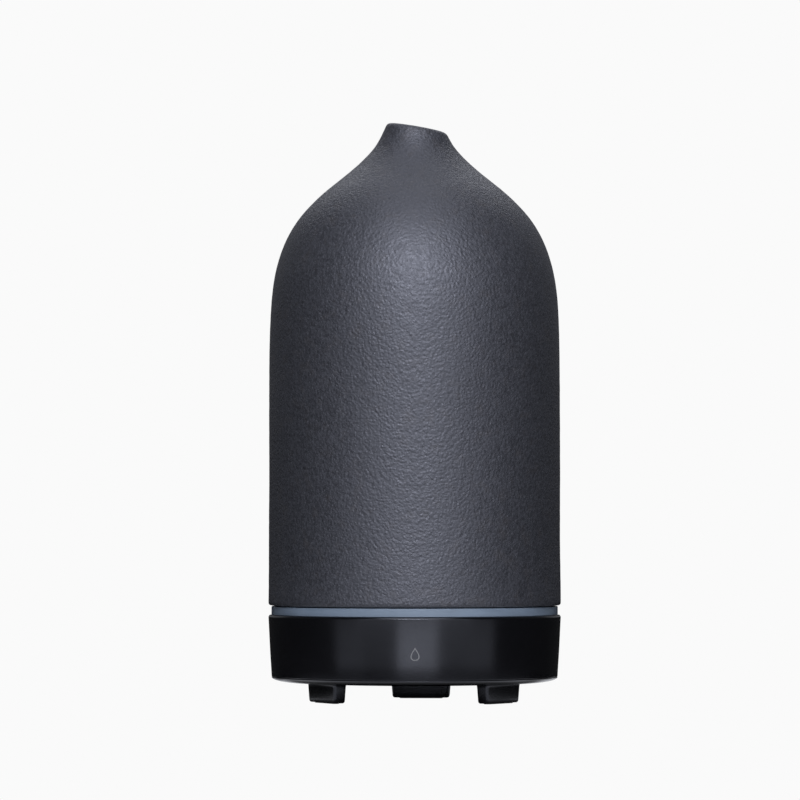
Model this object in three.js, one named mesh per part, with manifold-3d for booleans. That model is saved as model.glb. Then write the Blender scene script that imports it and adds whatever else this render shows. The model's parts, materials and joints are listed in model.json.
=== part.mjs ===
// Essential oil diffuser: an ultrasonic mist diffuser under a ceramic cover.
// Millimetres, +Z up, origin under the middle of the object on the surface it
// stands on. The front faces -Y and the controls and the inlet face +Y.
import * as THREE from "three";
import { mergeVertices } from "three/addons/utils/BufferGeometryUtils.js";
import Module from "manifold-3d";

const wasm = await Module();
wasm.setup();

// ---------------------------------------------------------------- dimensions
const SEG = 30; // facets round a large turned piece
const COVER_R = 45.0; // cover and base, widest radius
const COVER_BOTTOM = 29.7; // lower edge of the ceramic cover
const COVER_BORE_R = 40.9; // straight inner wall of the cover
const NOZZLE_R = 6.0; // nozzle bore
const NOZZLE_TOP = 177.0; // height of the oblique nozzle cut on the axis
const NOZZLE_SLOPE = 0.174; // the cut falls this much per mm towards +X
const RING_TOP = 29.4; // light ring, upper face under the cover
const RING_BOTTOM = 27.3; // light ring, lower face on the base shell
const RING_R = 44.07; // light ring, outer radius
const UPSTAND_R = 40.4; // light ring, upstand that centres the cover
const RING_BORE_R = 38.2; // light ring, inner radius
const UPSTAND_TOP = 33.0;
const SHELL_TOP = 27.0; // base shell, upper rim
const SHELL_BOTTOM = 8.0; // base shell, seam with the bottom cover
const SHELL_BOTTOM_R = 44.0;
const FLOOR_BOTTOM = 6.0; // bottom cover, flat underside
const FLOOR_TOP = 8.0;
const TANK_FLANGE_Z = 34.6; // tank flange, lower face
const TANK_RIM = 80.0; // tank rim
const TANK_R = 36.6; // tank outer radius
const TANK_BORE_R = 34.8; // tank inner radius
const RISER_Y = -25.0; // air riser, centre
const RISER_R = 7.0;
const RISER_BORE_R = 5.5;
const RISER_TOP = 74.0;
const FOOT_AZIMUTHS = { back: 86, left: 206, right: 326 };
const FOOT_R = 30.7; // foot centre radius
const FOOT_LONG = 18.0;
const FOOT_DEEP = 4.0;
const FOOT_BOTTOM = 0.4; // rubber pads stand this far proud
const PAD_LONG = 13.6;
const PAD_DEEP = 2.2;
const BOSS_AZIMUTHS = [50, 130, 240, 300]; // screw bosses
const BOSS_R = 34.2; // their centre radius
const FAN_Y = -21.0; // fan centre
const FAN_SIZE = 25.0;
const FAN_BOTTOM = 9.8;
const FAN_TOP = 16.8;
const FAN_HOLE = 10.0; // fan corner holes, half spacing
const PCB_BOTTOM = 10.6;
const PCB_TOP = 12.2;
const PART_Z = 12.5; // components stand this far up, just over the board
const CONTROL_Z = 17.0; // axis height of buttons and inlet
const BUTTON_AZIMUTHS = { mist: 63, light: 117 };
const BUTTON_R = 3.5;
const LED_BOARD_BOTTOM = 23.4;
const LED_BOARD_TOP = 24.4;

// ------------------------------------------------------------------- helpers
const rad = (degrees) => (degrees * Math.PI) / 180;
const polar = (azimuth, r) => [r * Math.cos(rad(azimuth)), r * Math.sin(rad(azimuth))];

// A closed three.js geometry as a solid. Triangles that fold to nothing on the
// axis of a turned profile are dropped, and an inward one is turned round.
function solid(geometry) {
  const g = geometry.index ? geometry.toNonIndexed() : geometry.clone();
  g.deleteAttribute("normal");
  g.deleteAttribute("uv");
  const merged = mergeVertices(g, 1e-4);
  const index = merged.index.array;
  const make = (flip) => {
    const tris = [];
    for (let i = 0; i < index.length; i += 3) {
      const [a, b, c] = [index[i], index[i + 1], index[i + 2]];
      if (a !== b && b !== c && a !== c) tris.push(a, flip ? c : b, flip ? b : c);
    }
    return new wasm.Manifold(
      new wasm.Mesh({
        numProp: 3,
        vertProperties: new Float32Array(merged.attributes.position.array),
        triVerts: new Uint32Array(tris),
      }),
    );
  };
  const made = make(false);
  return made.volume() < 0 ? make(true) : made;
}

// A closed profile of [r, z] points turned about the Z axis.
function turned(profile, segments = SEG) {
  const points = profile.map(([r, z]) => new THREE.Vector2(r, z));
  const first = profile[0];
  const last = profile[profile.length - 1];
  if (first[0] > 0 || last[0] > 0) points.push(new THREE.Vector2(first[0], first[1]));
  const g = new THREE.LatheGeometry(points, segments);
  g.rotateX(Math.PI / 2);
  return g;
}

// An upright cylinder from z0 to z1.
function rod(x, y, r, z0, z1, segments = 12) {
  const g = new THREE.CylinderGeometry(r, r, z1 - z0, segments);
  g.rotateX(Math.PI / 2);
  g.translate(x, y, (z0 + z1) / 2);
  return g;
}

// A cylinder lying along the radial direction of an azimuth, from r0 to r1.
function radialRod(azimuth, z, r, r0, r1, segments = 16) {
  const g = new THREE.CylinderGeometry(r, r, r1 - r0, segments);
  g.rotateZ(-Math.PI / 2);
  g.translate((r0 + r1) / 2, 0, z);
  g.rotateZ(rad(azimuth));
  return g;
}

function box(x0, x1, y0, y1, z0, z1) {
  const g = new THREE.BoxGeometry(x1 - x0, y1 - y0, z1 - z0);
  g.translate((x0 + x1) / 2, (y0 + y1) / 2, (z0 + z1) / 2);
  return g;
}

// A rounded rectangle, long side along X, centred on the origin.
function roundedRect(long, deep, r) {
  const s = new THREE.Shape();
  const [x, y] = [long / 2, deep / 2];
  s.moveTo(-x + r, -y);
  s.lineTo(x - r, -y);
  s.absarc(x - r, -y + r, r, -Math.PI / 2, 0, false);
  s.lineTo(x, y - r);
  s.absarc(x - r, y - r, r, 0, Math.PI / 2, false);
  s.lineTo(-x + r, y);
  s.absarc(-x + r, y - r, r, Math.PI / 2, Math.PI, false);
  s.lineTo(-x, -y + r);
  s.absarc(-x + r, -y + r, r, Math.PI, 1.5 * Math.PI, false);
  return s;
}

function slab(shape, z0, z1, curveSegments = 4) {
  const g = new THREE.ExtrudeGeometry(shape, { depth: z1 - z0, bevelEnabled: false, curveSegments });
  g.translate(0, 0, z0);
  return g;
}

// A round lead along smooth points, made as a section swept along a curve.
function lead(points, r, steps) {
  const section = new THREE.Shape();
  section.absarc(0, 0, r, 0, 2 * Math.PI, false);
  const curve = new THREE.CatmullRomCurve3(points.map((p) => new THREE.Vector3(...p)));
  return new THREE.ExtrudeGeometry(section, {
    steps,
    curveSegments: 4,
    bevelEnabled: false,
    extrudePath: curve,
  });
}

const union = (first, ...rest) => rest.reduce((a, g) => a.add(solid(g)), solid(first));
const cut = (body, ...tools) => tools.reduce((a, g) => a.subtract(solid(g)), body);

const group = new THREE.Group();
function piece(name, body, material, placed) {
  const made = body.getMesh();
  const g = new THREE.BufferGeometry();
  g.setAttribute("position", new THREE.BufferAttribute(new Float32Array(made.vertProperties), 3));
  g.setIndex(new THREE.BufferAttribute(new Uint32Array(made.triVerts), 1));
  g.computeVertexNormals();
  const mesh = new THREE.Mesh(g, material);
  mesh.name = name;
  if (placed) mesh.position.set(...placed);
  group.add(mesh);
  return mesh;
}

const material = (color, roughness, metalness = 0, extra = {}) =>
  new THREE.MeshStandardMaterial({ color, roughness, metalness, ...extra });
const STONE = material(0x5a5b64, 0.85);
const RING = material(0x8f96a6, 0.45, 0, { transparent: true, opacity: 0.9 });
const BLACK = material(0x0c0c0e, 0.35);
const RUBBER = material(0x1b1b1c, 0.9);
const TANK = material(0xd9dadb, 0.4);
const LID = material(0xe4e4e2, 0.45);
const SILICONE = material(0xb9bcbe, 0.7);
const CERAMIC_DISC = material(0xcfae6a, 0.35, 0.6);
const STEEL = material(0xb4b6b9, 0.35, 1.0);
const BOARD = material(0x1f5a38, 0.55);
const WHITE_BOARD = material(0xe8e8e4, 0.5);
const SOCKET = material(0xf0eee6, 0.5);
const LEAD = material(0x2a2a2c, 0.6);
const CHIP = material(0x151517, 0.45);
const COIL = material(0x3a3532, 0.5);
const CAN = material(0x2b3b66, 0.4);
const ALUMINIUM = material(0xaeb2b6, 0.4, 1.0);
const LENS = material(0xf4e9b8, 0.3);

// ---------------------------------------------------------------- the cover
// One ceramic wall: straight sides, a dome, and a neck that draws in to the
// nozzle. The mouth is cut on the slant.
{
  const outside = [
    [44.2, COVER_BOTTOM],
    [44.75, 30.1],
    [COVER_R, 31.2],
    [44.85, 52.0],
    [44.8, 102.0],
    [44.6, 114.1],
    [44.2, 122.1],
    [43.25, 130.15],
    [41.84, 136.0],
    [39.61, 141.9],
    [36.07, 148.0],
    [30.98, 153.9],
    [23.87, 160.05],
    [18.94, 164.06],
    [14.66, 168.07],
    [12.08, 171.15],
    [10.3, 174.2],
    [9.4, 176.1],
    [8.6, 178.0],
    [7.2, 182.0],
  ];
  const inside = [
    [NOZZLE_R, 182.0],
    [NOZZLE_R, 173.0],
    [7.4, 168.6],
    [13.6, 162.2],
    [20.5, 157.2],
    [27.4, 151.5],
    [32.6, 146.0],
    [36.3, 139.5],
    [38.8, 132.0],
    [40.2, 124.0],
    [COVER_BORE_R, 110.0],
    [COVER_BORE_R, COVER_BOTTOM],
  ];
  let body = solid(turned([...outside, ...inside]));
  const above = box(-30, 30, -30, 30, 0, 30);
  above.rotateY(Math.atan(NOZZLE_SLOPE));
  above.translate(0, 0, NOZZLE_TOP);
  body = cut(body, above);
  piece("stone_cover", body, STONE);
}

// ------------------------------------------------------------ the light ring
piece(
  "light_ring",
  solid(
    turned([
      [RING_R, RING_BOTTOM],
      [RING_R, RING_TOP],
      [UPSTAND_R, RING_TOP],
      [UPSTAND_R, UPSTAND_TOP],
      [RING_BORE_R, UPSTAND_TOP],
      [RING_BORE_R, RING_BOTTOM],
    ]),
  ),
  RING,
);

// ------------------------------------------------------------- the base shell
{
  let body = solid(
    turned([
      [SHELL_BOTTOM_R, SHELL_BOTTOM],
      [44.5, 16.0],
      [COVER_R, 26.2],
      [44.8, 26.8],
      [44.3, SHELL_TOP],
      [41.6, SHELL_TOP],
      [41.6, 25.6],
      [42.4, 24.8],
      [42.4, 23.1],
      [39.0, 23.1],
      [39.0, 21.9],
      [42.3, 21.9],
      [42.0, SHELL_BOTTOM],
    ]),
  );
  body = cut(
    body,
    radialRod(90, CONTROL_Z, 4.7, 38, 48, 20),
    radialRod(BUTTON_AZIMUTHS.mist, CONTROL_Z, BUTTON_R + 0.3, 38, 48, 16),
    radialRod(BUTTON_AZIMUTHS.light, CONTROL_Z, BUTTON_R + 0.3, 38, 48, 16),
  );
  piece("base_shell", body, BLACK);
}

// ------------------------------------------------------------ the bottom cover
// A shallow dish with a locating lip, three feet, air slots under the fan,
// screw bosses and the posts that carry the fan and the circuit board.
{
  const dish = turned([
    [0, FLOOR_BOTTOM],
    [37.0, FLOOR_BOTTOM],
    [40.6, 6.25],
    [42.8, 6.8],
    [43.7, 7.25],
    [SHELL_BOTTOM_R, 7.7],
    [41.6, 7.7],
    [41.6, 9.5],
    [40.3, 9.5],
    [40.3, FLOOR_TOP],
    [0, FLOOR_TOP],
  ]);
  const feet = Object.values(FOOT_AZIMUTHS).map((azimuth) => {
    const g = slab(roundedRect(FOOT_LONG, FOOT_DEEP, 0.95), 0, 6.4 - FOOT_BOTTOM, 3);
    const p = g.attributes.position;
    for (let i = 0; i < p.count; i++) {
      const draft = 0.93 + 0.07 * Math.min(1, p.getZ(i) / 5.6);
      p.setXYZ(i, p.getX(i) * draft, p.getY(i) * draft, p.getZ(i) + FOOT_BOTTOM);
    }
    g.rotateZ(rad(azimuth + 90));
    const [x, y] = polar(azimuth, FOOT_R);
    g.translate(x, y, 0);
    return g;
  });
  const posts = BOSS_AZIMUTHS.map((a) => rod(...polar(a, BOSS_R), 3.8, 7.0, 10.0, 12));
  const fanPosts = [
    [-1, -1],
    [1, -1],
    [1, 1],
    [-1, 1],
  ].map(([i, j]) => rod(i * FAN_HOLE, FAN_Y + j * FAN_HOLE, 2.1, 7.0, 9.5, 8));
  const boardPosts = [
    [-33, 3],
    [33, 3],
    [0, 21],
  ].map(([x, y]) => rod(x, y, 2.5, 7.0, 10.3, 10));
  let body = union(dish, ...feet, ...posts, ...fanPosts, ...boardPosts);
  const holes = [];
  for (const a of BOSS_AZIMUTHS) {
    holes.push(rod(...polar(a, BOSS_R), 3.1, 5.0, 8.2, 14));
    holes.push(rod(...polar(a, BOSS_R), 1.6, 8.0, 11.0, 8));
  }
  holes.push(rod(-FAN_HOLE, FAN_Y - FAN_HOLE, 1.2, 7.4, 10.0, 8));
  holes.push(rod(FAN_HOLE, FAN_Y + FAN_HOLE, 1.2, 7.4, 10.0, 8));
  for (const [x, y] of [
    [-33, 3],
    [33, 3],
    [0, 21],
  ])
    holes.push(rod(x, y, 1.2, 7.4, 11.0, 8));
  for (let i = -3; i <= 3; i++) {
    const half = Math.sqrt(10.8 ** 2 - (i * 2.9) ** 2);
    holes.push(box(i * 2.9 - 0.75, i * 2.9 + 0.75, FAN_Y - half, FAN_Y + half, 5.0, 9.0));
  }
  for (const azimuth of Object.values(FOOT_AZIMUTHS)) {
    const g = slab(roundedRect(PAD_LONG + 0.6, PAD_DEEP + 0.6, 0.7), -1.0, 1.3, 2);
    g.rotateZ(rad(azimuth + 90));
    const [x, y] = polar(azimuth, FOOT_R);
    g.translate(x, y, 0);
    holes.push(g);
  }
  body = cut(body, ...holes);
  piece("bottom_cover", body, BLACK);
}

// --------------------------------------------------------------- rubber pads
for (const [side, azimuth] of Object.entries(FOOT_AZIMUTHS)) {
  const g = slab(roundedRect(PAD_LONG, PAD_DEEP, 0.5), 0, 1.0, 2);
  g.rotateZ(rad(azimuth + 90));
  const [x, y] = polar(azimuth, FOOT_R);
  g.translate(x, y, 0);
  piece("foot_pad_" + side, solid(g), RUBBER);
}

// ----------------------------------------------------------------- the tank
// A cup whose flange clamps the light ring. The disc sits in a well in the
// floor, and the riser brings the fan's air above the water.
{
  const cup = turned([
    [8.2, 30.2],
    [12.2, 30.2],
    [12.2, 26.2],
    [13.8, 26.2],
    [13.8, 31.4],
    [34.4, 31.4],
    [34.4, 27.6],
    [TANK_R, 27.6],
    [TANK_R, TANK_FLANGE_Z],
    [40.2, TANK_FLANGE_Z],
    [40.2, 36.4],
    [37.2, 36.8],
    [37.0, 79.4],
    [36.6, TANK_RIM],
    [35.3, TANK_RIM],
    [35.0, 79.4],
    [TANK_BORE_R, 64.2],
    [34.3, 63.7],
    [34.3, 63.1],
    [TANK_BORE_R, 62.6],
    [34.6, 38.0],
    [33.0, 35.2],
    [30.0, 33.9],
    [13.0, 33.2],
    [10.2, 32.2],
    [8.2, 31.4],
  ]);
  const riser = rod(0, RISER_Y, RISER_R, 26.2, RISER_TOP, 20);
  const bosses = BOSS_AZIMUTHS.map((a) => rod(...polar(a, BOSS_R), 3.2, 10.3, 32.0, 12));
  const lugs = [90, 210, 330].map((a) => rod(...polar(a, 14.6), 3.0, 26.2, 32.0, 12));
  let body = union(cup, riser, ...bosses, ...lugs);
  const holes = [
    rod(0, RISER_Y, RISER_BORE_R, 20, 80, 20),
    // the lugs and bosses stay out of the disc's seat and of the well
    rod(0, 0, 12.2, 20, 30.2, SEG),
    rod(0, 0, 8.2, 20, 33.4, SEG),
  ];
  for (const a of BOSS_AZIMUTHS) holes.push(rod(...polar(a, BOSS_R), 1.5, 9.0, 24.0, 10));
  for (const a of [90, 210, 330]) holes.push(rod(...polar(a, 15.2), 1.3, 24.0, 30.4, 8));
  body = cut(body, ...holes);
  piece("water_tank", body, TANK);
}

piece(
  "tank_seal",
  solid(
    turned(
      [
        [37.0, 33.3],
        [40.2, 33.3],
        [40.2, 34.3],
        [37.0, 34.3],
      ],
      SEG,
    ),
  ),
  SILICONE,
);

// ------------------------------------------------------------- the inner lid
piece(
  "mist_lid",
  solid(
    turned(
      [
        [34.2, 75.5],
        [34.2, 80.3],
        [37.4, 80.3],
        [37.6, 82.0],
        [36.8, 83.2],
        [33.0, 85.0],
        [24.0, 88.4],
        [14.4, 94.2],
        [10.2, 101.0],
        [8.8, 110.0],
        [7.6, 146.4],
        [7.3, 147.0],
        [6.2, 147.0],
        [6.0, 146.4],
        [7.2, 110.0],
        [8.6, 101.6],
        [13.0, 95.2],
        [23.2, 86.8],
        [32.8, 83.0],
        [32.8, 75.5],
      ],
      28,
    ),
  ),
  LID,
);

// ---------------------------------------------------- the ultrasonic disc set
piece(
  "piezo_seal",
  solid(
    turned(
      [
        [8.6, 26.2],
        [11.9, 26.2],
        [11.9, 29.9],
        [8.6, 29.9],
        [8.6, 29.3],
        [10.3, 29.3],
        [10.3, 27.5],
        [8.6, 27.5],
      ],
      20,
    ),
  ),
  SILICONE,
);
piece("piezo_disc", solid(rod(0, 0, 10.0, 27.8, 29.0, 24)), CERAMIC_DISC);
{
  const plate = union(
    rod(0, 0, 13.8, 24.9, 25.9, 24),
    ...[90, 210, 330].map((a) => rod(...polar(a, 15.2), 2.6, 24.9, 25.9, 12)),
  );
  piece(
    "piezo_clamp",
    cut(
      plate,
      rod(0, 0, 7.5, 24, 27, 20),
      ...[90, 210, 330].map((a) => rod(...polar(a, 15.2), 1.3, 24, 27, 8)),
    ),
    STEEL,
  );
}

// A pan head screw, head up along +Z, seat at z = 0. The recess is a slot, or
// a cross on the screws that show.
function screw(shankR, length, headR, headH, cross = false) {
  const body = union(
    rod(0, 0, shankR, -length, 0.2, 6),
    turned(
      [
        [0, 0],
        [headR, 0],
        [headR, headH * 0.55],
        [headR * 0.72, headH],
        [0, headH],
      ],
      cross ? 12 : 8,
    ),
  );
  const w = headR * 0.14;
  const slots = [box(-headR * 0.55, headR * 0.55, -w, w, headH * 0.45, headH + 1)];
  if (cross) slots.push(box(-w, w, -headR * 0.55, headR * 0.55, headH * 0.45, headH + 1));
  return cut(body, ...slots);
}
function placeScrew(name, x, y, z, up, dims) {
  const mesh = piece(name, screw(...dims), STEEL, [x, y, z]);
  if (!up) mesh.rotation.x = Math.PI;
}

[90, 210, 330].forEach((a, i) =>
  placeScrew("piezo_screw_" + (i + 1), ...polar(a, 15.2), 24.6, false, [0.95, 5.0, 1.8, 1.1]),
);
BOSS_AZIMUTHS.forEach((a, i) =>
  placeScrew("base_screw_" + (i + 1), ...polar(a, BOSS_R), 7.9, false, [1.2, 14.0, 2.7, 1.5, true]),
);

// ------------------------------------------------------------------ the fan
{
  const frame = slab(roundedRect(FAN_SIZE, FAN_SIZE, 2.2), FAN_BOTTOM, FAN_TOP, 3);
  let body = cut(
    solid(frame),
    rod(0, 0, 11.6, 0, 30, 28),
    ...[
      [-1, -1],
      [1, -1],
      [1, 1],
      [-1, 1],
    ].map(([i, j]) => rod(i * FAN_HOLE, j * FAN_HOLE, 1.4, 0, 30, 8)),
  );
  const struts = [30, 150, 270].map((a) => {
    const g = box(4.0, 12.0, -0.7, 0.7, FAN_BOTTOM, FAN_BOTTOM + 1.2);
    g.rotateZ(rad(a));
    return g;
  });
  for (const g of [...struts, rod(0, 0, 5.2, FAN_BOTTOM, FAN_BOTTOM + 1.2, 16), rod(0, 0, 1.0, 10.4, 14.4, 10)])
    body = body.add(solid(g));
  piece("fan_frame", body, BLACK, [0, FAN_Y, 0]);

  const blades = [];
  for (let i = 0; i < 7; i++) {
    const g = new THREE.BoxGeometry(6.0, 4.9, 0.7);
    g.rotateX(rad(34));
    g.translate(7.9, 0, 13.9);
    g.rotateZ(rad((360 / 7) * i));
    blades.push(g);
  }
  const hub = turned(
    [
      [0, 16.4],
      [5.2, 16.4],
      [5.6, 16.0],
      [5.6, 11.4],
      [4.9, 11.4],
      [4.9, 15.0],
      [2.6, 15.0],
      [2.6, 11.8],
      [1.35, 11.8],
      [1.35, 14.9],
      [0, 14.9],
    ],
    16,
  );
  let rotor = solid(hub);
  const clear = solid(rod(0, 0, 5.2, 0, 30, 16));
  for (const g of blades) rotor = rotor.add(solid(g).subtract(clear));
  piece("fan_rotor", rotor, CHIP, [0, FAN_Y, 0]);
}
placeScrew("fan_screw_1", -FAN_HOLE, FAN_Y - FAN_HOLE, 17.1, true, [1.0, 9.0, 1.7, 1.0]);
placeScrew("fan_screw_2", FAN_HOLE, FAN_Y + FAN_HOLE, 17.1, true, [1.0, 9.0, 1.7, 1.0]);

// The duct: a round hood over the fan that leans towards the riser.
{
  const g = turned(
    [
      [12.4, 17.1],
      [12.4, 18.8],
      [8.6, 24.2],
      [8.6, 29.6],
      [7.4, 29.6],
      [7.4, 24.4],
      [11.4, 18.9],
      [11.4, 17.1],
    ],
    20,
  );
  const p = g.attributes.position;
  for (let i = 0; i < p.count; i++) {
    const t = Math.min(1, Math.max(0, (p.getZ(i) - 18.8) / (24.2 - 18.8)));
    p.setY(i, p.getY(i) + FAN_Y + t * (RISER_Y - FAN_Y));
  }
  piece("air_duct", solid(g), CHIP);
}

// ------------------------------------------------------------ circuit board
{
  const s = new THREE.Shape();
  const r = 39.0;
  const y0 = -4.5;
  const a0 = Math.asin(y0 / r);
  s.moveTo(-r * Math.cos(a0), y0);
  s.lineTo(r * Math.cos(a0), y0);
  s.absarc(0, 0, r, a0, Math.PI - a0, false);
  const board = solid(slab(s, PCB_BOTTOM, PCB_TOP, 20));
  piece(
    "main_pcb",
    cut(
      board,
      rod(...polar(50, BOSS_R), 3.7, 0, 30, 12),
      rod(...polar(130, BOSS_R), 3.7, 0, 30, 12),
      rod(-33, 3, 1.3, 0, 30, 10),
      rod(33, 3, 1.3, 0, 30, 10),
      rod(0, 21, 1.3, 0, 30, 10),
    ),
    BOARD,
  );
  [
    [-33, 3],
    [33, 3],
    [0, 21],
  ].forEach(([x, y], i) =>
    placeScrew("pcb_screw_" + (i + 1), x, y, PCB_TOP + 0.3, true, [0.9, 4.6, 1.8, 1.1]),
  );
}

// ------------------------------------------------------------------ DC inlet
{
  const body = union(
    box(-4.5, 4.5, 27.0, 40.2, PART_Z, 21.5),
    radialRod(90, CONTROL_Z, 4.2, 39.5, 43.9, 24),
  );
  piece(
    "dc_jack",
    cut(body, radialRod(90, CONTROL_Z, 3.1, 33.0, 46.0, 24), radialRod(90, CONTROL_Z, 1.3, 30.0, 34.0, 12)),
    CHIP,
  );
  piece("dc_jack_contact", solid(radialRod(90, CONTROL_Z, 1.0, 30.3, 42.4, 14)), STEEL);
}

// ------------------------------------------------------- buttons and switches
for (const [use, azimuth] of Object.entries(BUTTON_AZIMUTHS)) {
  // Turned about its own axis, which points outwards, then laid down.
  const g = turned(
    [
      [0, 37.6],
      [1.5, 37.6],
      [1.5, 40.3],
      [4.4, 40.3],
      [4.4, 41.4],
      [BUTTON_R, 41.4],
      [BUTTON_R, 44.8],
      [3.1, 45.3],
      [0, 45.4],
    ],
    14,
  );
  g.rotateY(Math.PI / 2);
  g.translate(0, 0, CONTROL_Z);
  g.rotateZ(rad(azimuth));
  piece(use + "_button", solid(g), BLACK);

  const body = box(33.0, 36.4, -3.0, 3.0, PART_Z, 20.2);
  const stem = new THREE.CylinderGeometry(1.3, 1.3, 0.6, 12);
  stem.rotateZ(-Math.PI / 2);
  stem.translate(36.4, 0, CONTROL_Z);
  const made = union(body, stem);
  const turn = piece(use + "_switch", made, CHIP);
  turn.rotation.z = rad(azimuth);
}

// -------------------------------------------------------- board components
{
  // Drum coil: two flanges and the winding between them.
  piece(
    "drive_coil",
    solid(
      turned(
        [
          [0, PART_Z],
          [4.8, PART_Z],
          [4.8, 13.6],
          [4.2, 13.8],
          [4.2, 18.2],
          [4.8, 18.4],
          [4.8, 19.5],
          [0, 19.5],
        ],
        14,
      ),
    ),
    COIL,
    [-13, 11, 0],
  );
  piece(
    "capacitor",
    solid(
      turned(
        [
          [0, PART_Z],
          [4.0, PART_Z],
          [4.0, 13.4],
          [3.7, 13.8],
          [4.0, 14.2],
          [4.0, 23.2],
          [3.6, 23.6],
          [0, 23.6],
        ],
        14,
      ),
    ),
    CAN,
    [-26, 12, 0],
  );
  // Heat sink: a base plate with five fins.
  const fins = [box(18.0, 32.0, 9.0, 10.6, PART_Z, 22.0)];
  for (let i = 0; i < 5; i++) fins.push(box(18.0 + i * 3.2, 19.2 + i * 3.2, 10.0, 16.6, PART_Z, 22.0));
  piece("heat_sink", union(...fins), ALUMINIUM);
  piece(
    "transistor",
    cut(solid(box(21.0, 29.0, 5.9, 8.7, PART_Z, 23.5)), rod(0, 0, 0.1, -2, -1, 6)),
    CHIP,
  );
  // Control chip with its two rows of legs.
  const chip = [box(-2.0, 2.0, 3.0, 13.0, 12.7, 14.3)];
  for (let i = 0; i < 4; i++) chip.push(box(-3.0, 3.0, 3.7 + i * 2.54, 4.3 + i * 2.54, PART_Z, 12.9));
  piece("control_chip", union(...chip), CHIP, [3, 0, 0]);
  // Lead sockets: open boxes on the board.
  const socket = (w, d) => cut(solid(box(-w, w, -d, d, PART_Z, 17.4)), box(-w + 0.7, w - 0.7, -d + 0.7, d - 0.7, 14.0, 18));
  piece("fan_socket", socket(3.4, 2.2), SOCKET, [-10, -1.4, 0]);
  piece("piezo_socket", socket(3.4, 2.2), SOCKET, [11, -1.4, 0]);
  piece("led_socket", socket(2.2, 3.0), SOCKET, [26, -0.4, 0]);
}

// ------------------------------------------------------------ the LED board
{
  const ring = solid(
    turned([
      [35.4, LED_BOARD_BOTTOM],
      [41.5, LED_BOARD_BOTTOM],
      [41.5, LED_BOARD_TOP],
      [35.4, LED_BOARD_TOP],
    ]),
  );
  piece("led_board", cut(ring, ...BOSS_AZIMUTHS.map((a) => rod(...polar(a, BOSS_R), 3.7, 20, 30, 12))), WHITE_BOARD);
  for (let i = 0; i < 6; i++) {
    const body = union(box(-1.75, 1.75, -1.75, 1.75, 24.7, 25.6), rod(0, 0, 1.4, 25.4, 26.1, 10));
    const [x, y] = polar(i * 60, 39.6);
    const mesh = piece("led_" + (i + 1), body, LENS, [x, y, 0]);
    mesh.rotation.z = rad(i * 60);
  }
}

// ------------------------------------------------------------ internal leads
piece(
  "fan_lead",
  solid(
    lead(
      [
        [-10, -8.1, 13.2],
        [-10, -6.4, 13.6],
        [-10, -5.6, 16.6],
        [-10, -4.4, 19.0],
        [-10, -2.4, 19.4],
        [-10, -1.4, 18.0],
        [-10, -1.4, 14.4],
      ],
      0.8,
      11,
    ),
  ),
  LEAD,
);
piece(
  "piezo_lead",
  solid(
    lead(
      [
        [0, 0, 27.5],
        [0.2, -0.1, 25.4],
        [2.0, -0.5, 23.2],
        [6.0, -1.0, 22.2],
        [10.0, -1.4, 21.0],
        [11, -1.4, 18.6],
        [11, -1.4, 14.4],
      ],
      0.8,
      12,
    ),
  ),
  LEAD,
);
piece(
  "led_lead",
  solid(
    lead(
      [
        [37.0, -0.4, 23.1],
        [36.8, -0.4, 21.4],
        [33.5, -0.4, 19.8],
        [29.0, -0.4, 20.0],
        [26.4, -0.4, 18.8],
        [26.0, -0.4, 14.4],
      ],
      0.8,
      11,
    ),
  ),
  LEAD,
);

export default group;
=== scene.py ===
import json
import math

import bmesh
import bpy
import numpy as np
from mathutils import Matrix, Vector, noise


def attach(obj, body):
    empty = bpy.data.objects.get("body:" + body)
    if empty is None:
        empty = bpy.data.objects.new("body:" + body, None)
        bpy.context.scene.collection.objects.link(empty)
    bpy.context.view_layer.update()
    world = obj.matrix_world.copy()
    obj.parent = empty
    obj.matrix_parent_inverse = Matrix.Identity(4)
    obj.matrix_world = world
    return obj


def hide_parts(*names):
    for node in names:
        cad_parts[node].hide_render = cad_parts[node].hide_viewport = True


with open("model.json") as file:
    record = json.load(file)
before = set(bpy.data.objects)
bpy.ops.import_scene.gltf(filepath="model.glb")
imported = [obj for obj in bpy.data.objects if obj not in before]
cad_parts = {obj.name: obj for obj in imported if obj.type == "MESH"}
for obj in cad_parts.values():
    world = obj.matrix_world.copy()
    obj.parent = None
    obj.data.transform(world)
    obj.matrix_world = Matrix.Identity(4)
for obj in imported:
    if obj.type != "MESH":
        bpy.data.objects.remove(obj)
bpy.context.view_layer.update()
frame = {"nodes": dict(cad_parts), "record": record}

MM = 0.001
scene = bpy.context.scene


# ------------------------------------------------------------------- camera
def make_camera():
    data = bpy.data.cameras.new("camera")
    data.lens = 233.6
    data.sensor_width = 36.0
    data.clip_start, data.clip_end = 0.05, 40.0
    cam = bpy.data.objects.new("camera", data)
    scene.collection.objects.link(cam)
    eye, aim = Vector((-0.0045, -1.6, 0.058)), Vector((-0.0045, 0.0, 0.0929))
    cam.location = eye
    cam.rotation_euler = (aim - eye).to_track_quat("-Z", "Y").to_euler()
    scene.camera = cam


make_camera()
scene.view_settings.view_transform = "Standard"
scene.view_settings.look = "None"
scene.view_settings.exposure = 0.0
scene.view_settings.gamma = 1.0

# ------------------------------------------------------------ shape helpers
# Shapes are written in millimetres as (verts, faces) and scaled at the end.


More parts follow.
